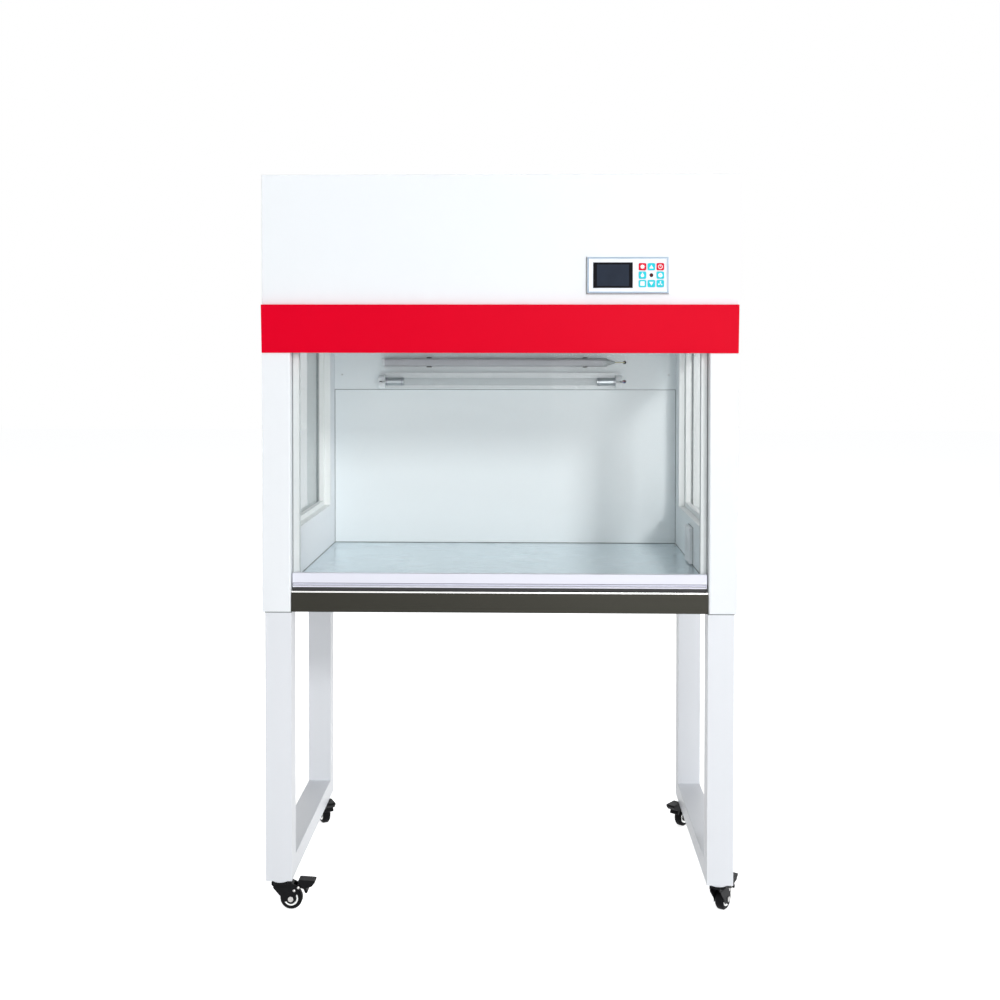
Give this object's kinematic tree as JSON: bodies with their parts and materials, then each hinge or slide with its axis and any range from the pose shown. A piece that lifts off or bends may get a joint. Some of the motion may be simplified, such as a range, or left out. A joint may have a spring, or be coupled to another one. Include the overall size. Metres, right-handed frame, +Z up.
{
  "type": "laminar flow cabinet",
  "caption": "Free-standing clean bench with a counterbalanced glass sash, glazed sides, filtered down-flow head, lamps and a wheeled stand.",
  "frame": {"origin": "on the floor under the middle of the cabinet", "axes": "+Z up, +X to the right of a user who stands at the sash, +Y to the back"},
  "size_m": [1.0569, 0.704, 1.624],
  "materials": {
    "white_paint": "smooth satin powder coat",
    "red_paint": "smooth satin powder coat",
    "wall_paint": "pale grey powder coat",
    "zinc_sheet": "galvanised sheet",
    "stainless": "brushed stainless sheet",
    "apron_steel": "brushed stainless sheet",
    "stand_paint": "smooth satin powder coat",
    "window_glass": "clear toughened glass",
    "handle_paint": "pale lavender powder coat",
    "rail_metal": "satin anodised",
    "black_rubber": "soft black seal",
    "guide_plastic": "low friction plastic",
    "cable_steel": "stranded steel cable",
    "weight_iron": "bare casting",
    "pulley_plastic": "moulded nylon",
    "filter_media": "pleated paper in a light frame",
    "pad_fibre": "loose fibre mat",
    "fan_metal": "pressed sheet",
    "motor_metal": "die-cast housing",
    "bezel_metal": "blue grey satin",
    "plate_plastic": "smooth white panel",
    "screen_plastic": "dark glossy window",
    "board_plastic": "circuit board",
    "key_plastic": "moulded key cap",
    "lamp_plastic": "frosted cover",
    "fixture_paint": "white enamel",
    "tube_glass": "quartz tube with metal caps",
    "outlet_plastic": "moulded white",
    "gland_plastic": "moulded nylon",
    "fork_steel": "black finish",
    "wheel_rubber": "solid black tyre",
    "pedal_plastic": "moulded black"
  },
  "bodies": {
    "cabinet": {"left_side_wall": "white_paint", "right_side_wall": "white_paint", "window_panes": "window_glass", "chamber_back_wall": "wall_paint", "lamp_panel": "wall_paint", "rear_cover": "white_paint", "cable_gland": "gland_plastic", "top_cover": "white_paint", "prefilter_pad": "pad_fibre", "front_cover": "white_paint", "fascia_band": "red_paint", "fan_deck": "zinc_sheet", "hepa_filter": "filter_media", "diffuser_grid": "white_paint", "blower_scroll": "zinc_sheet", "blower_motor": "motor_metal", "control_bezel": "bezel_metal", "display_screen": "screen_plastic", "keypad_plate": "plate_plastic", "control_board": "board_plastic", "led_batten": "lamp_plastic", "uv_fixture": "fixture_paint", "work_surface": "stainless", "base_pan": "apron_steel", "sash_guides": "guide_plastic", "socket_outlet": "outlet_plastic", "left_stand_frame": "stand_paint", "right_stand_frame": "stand_paint", "sash_cables": "cable_steel", "counterweight_cables": "cable_steel"},
    "sash": {"sash_glass": "window_glass", "sash_handle": "handle_paint", "sash_top_rail": "rail_metal", "sash_seal": "black_rubber"},
    "left_counterweight": {"left_counterweight": "weight_iron"},
    "left_pulley": {"left_pulley": "pulley_plastic"},
    "right_counterweight": {"right_counterweight": "weight_iron"},
    "right_pulley": {"right_pulley": "pulley_plastic"},
    "uv_tube": {"uv_tube": "tube_glass"},
    "blower_impeller": {"blower_impeller": "fan_metal"},
    "lamp_key": {"lamp_key": "key_plastic"},
    "up_key": {"up_key": "key_plastic"},
    "power_key": {"power_key": "key_plastic"},
    "timer_key": {"timer_key": "key_plastic"},
    "clock_key": {"clock_key": "key_plastic"},
    "socket_key": {"socket_key": "key_plastic"},
    "down_key": {"down_key": "key_plastic"},
    "fan_key": {"fan_key": "key_plastic"},
    "front_left_fork": {"front_left_fork": "fork_steel"},
    "front_left_wheel": {"front_left_wheel": "wheel_rubber"},
    "front_left_brake_pedal": {"front_left_brake_pedal": "pedal_plastic"},
    "front_right_fork": {"front_right_fork": "fork_steel"},
    "front_right_wheel": {"front_right_wheel": "wheel_rubber"},
    "front_right_brake_pedal": {"front_right_brake_pedal": "pedal_plastic"},
    "rear_left_fork": {"rear_left_fork": "fork_steel"},
    "rear_left_wheel": {"rear_left_wheel": "wheel_rubber"},
    "rear_left_brake_pedal": {"rear_left_brake_pedal": "pedal_plastic"},
    "rear_right_fork": {"rear_right_fork": "fork_steel"},
    "rear_right_wheel": {"rear_right_wheel": "wheel_rubber"},
    "rear_right_brake_pedal": {"rear_right_brake_pedal": "pedal_plastic"}
  },
  "joints": [
    {"name": "sash_slide", "type": "slide", "parent": "cabinet", "child": "sash", "axis": [0, 0, 1], "range_m": [0, 0.3], "deforming": ["sash_cables"]},
    {"name": "left_counterweight_slide", "type": "slide", "parent": "cabinet", "child": "left_counterweight", "axis": [0, 0, 1], "range_m": [-0.3, 0], "deforming": ["counterweight_cables"]},
    {"name": "left_pulley_turn", "type": "hinge", "parent": "cabinet", "child": "left_pulley", "pos_m": [-0.463, -0.28, 1.582], "axis": [0, 1, 0], "range_deg": [-675.07, 0]},
    {"name": "right_counterweight_slide", "type": "slide", "parent": "cabinet", "child": "right_counterweight", "axis": [0, 0, 1], "range_m": [-0.3, 0], "deforming": ["counterweight_cables"]},
    {"name": "right_pulley_turn", "type": "hinge", "parent": "cabinet", "child": "right_pulley", "pos_m": [0.463, -0.28, 1.582], "axis": [0, 1, 0], "range_deg": [0, 675.07]},
    {"name": "uv_tube_twist", "type": "hinge", "parent": "cabinet", "child": "uv_tube", "pos_m": [-0.0115, 0.2775, 1.1632], "axis": [1, 0, 0], "range_deg": [0, 90]},
    {"name": "impeller_spin", "type": "hinge", "parent": "cabinet", "child": "blower_impeller", "pos_m": [0, 0.017, 1.476], "axis": [1, 0, 0], "continuous": true},
    {"name": "lamp_key_press", "type": "slide", "parent": "cabinet", "child": "lamp_key", "axis": [0, 1, 0], "range_m": [0, 0.0006], "stiffness_N_per_m": 1500, "springref_m": -0.0002},
    {"name": "up_key_press", "type": "slide", "parent": "cabinet", "child": "up_key", "axis": [0, 1, 0], "range_m": [0, 0.0006], "stiffness_N_per_m": 1500, "springref_m": -0.0002},
    {"name": "power_key_press", "type": "slide", "parent": "cabinet", "child": "power_key", "axis": [0, 1, 0], "range_m": [0, 0.0006], "stiffness_N_per_m": 1500, "springref_m": -0.0002},
    {"name": "timer_key_press", "type": "slide", "parent": "cabinet", "child": "timer_key", "axis": [0, 1, 0], "range_m": [0, 0.0006], "stiffness_N_per_m": 1500, "springref_m": -0.0002},
    {"name": "clock_key_press", "type": "slide", "parent": "cabinet", "child": "clock_key", "axis": [0, 1, 0], "range_m": [0, 0.0006], "stiffness_N_per_m": 1500, "springref_m": -0.0002},
    {"name": "socket_key_press", "type": "slide", "parent": "cabinet", "child": "socket_key", "axis": [0, 1, 0], "range_m": [0, 0.0006], "stiffness_N_per_m": 1500, "springref_m": -0.0002},
    {"name": "down_key_press", "type": "slide", "parent": "cabinet", "child": "down_key", "axis": [0, 1, 0], "range_m": [0, 0.0006], "stiffness_N_per_m": 1500, "springref_m": -0.0002},
    {"name": "fan_key_press", "type": "slide", "parent": "cabinet", "child": "fan_key", "axis": [0, 1, 0], "range_m": [0, 0.0006], "stiffness_N_per_m": 1500, "springref_m": -0.0002},
    {"name": "front_left_swivel", "type": "hinge", "parent": "cabinet", "child": "front_left_fork", "pos_m": [-0.485, -0.308, 0.06], "axis": [0, 0, 1], "continuous": true},
    {"name": "front_left_wheel_roll", "type": "hinge", "parent": "front_left_fork", "child": "front_left_wheel", "pos_m": [-0.461, -0.308, 0.0245], "axis": [0, 1, 0], "continuous": true},
    {"name": "front_left_brake_press", "type": "hinge", "parent": "front_left_fork", "child": "front_left_brake_pedal", "pos_m": [-0.444, -0.308, 0.05], "axis": [0, 1, 0], "range_deg": [0, 12]},
    {"name": "front_right_swivel", "type": "hinge", "parent": "cabinet", "child": "front_right_fork", "pos_m": [0.485, -0.308, 0.06], "axis": [0, 0, 1], "continuous": true},
    {"name": "front_right_wheel_roll", "type": "hinge", "parent": "front_right_fork", "child": "front_right_wheel", "pos_m": [0.49807, -0.28787, 0.0245], "axis": [-0.8387, 0.5446, 0], "continuous": true},
    {"name": "front_right_brake_press", "type": "hinge", "parent": "front_right_fork", "child": "front_right_brake_pedal", "pos_m": [0.50733, -0.27361, 0.05], "axis": [-0.8387, 0.5446, 0], "range_deg": [0, 12]},
    {"name": "rear_left_swivel", "type": "hinge", "parent": "cabinet", "child": "rear_left_fork", "pos_m": [-0.485, 0.249, 0.06], "axis": [0, 0, 1], "continuous": true},
    {"name": "rear_left_wheel_roll", "type": "hinge", "parent": "rear_left_fork", "child": "rear_left_wheel", "pos_m": [-0.47373, 0.22781, 0.0245], "axis": [0.8829, 0.4695, 0], "continuous": true},
    {"name": "rear_left_brake_press", "type": "hinge", "parent": "rear_left_fork", "child": "rear_left_brake_pedal", "pos_m": [-0.46575, 0.2128, 0.05], "axis": [0.8829, 0.4695, 0], "range_deg": [0, 12]},
    {"name": "rear_right_swivel", "type": "hinge", "parent": "cabinet", "child": "rear_right_fork", "pos_m": [0.485, 0.249, 0.06], "axis": [0, 0, 1], "continuous": true},
    {"name": "rear_right_wheel_roll", "type": "hinge", "parent": "rear_right_fork", "child": "rear_right_wheel", "pos_m": [0.46894, 0.23116, 0.0245], "axis": [0.7431, -0.6691, 0], "continuous": true},
    {"name": "rear_right_brake_press", "type": "hinge", "parent": "rear_right_fork", "child": "rear_right_brake_pedal", "pos_m": [0.45757, 0.21853, 0.05], "axis": [0.7431, -0.6691, 0], "range_deg": [0, 12]}
  ],
  "couplings": [
    {"joint": "left_counterweight_slide", "follows": "sash_slide", "ratio": -1},
    {"joint": "left_pulley_turn", "follows": "sash_slide", "rad_per_m": -39.216},
    {"joint": "right_counterweight_slide", "follows": "sash_slide", "ratio": -1},
    {"joint": "right_pulley_turn", "follows": "sash_slide", "rad_per_m": 39.216}
  ]
}
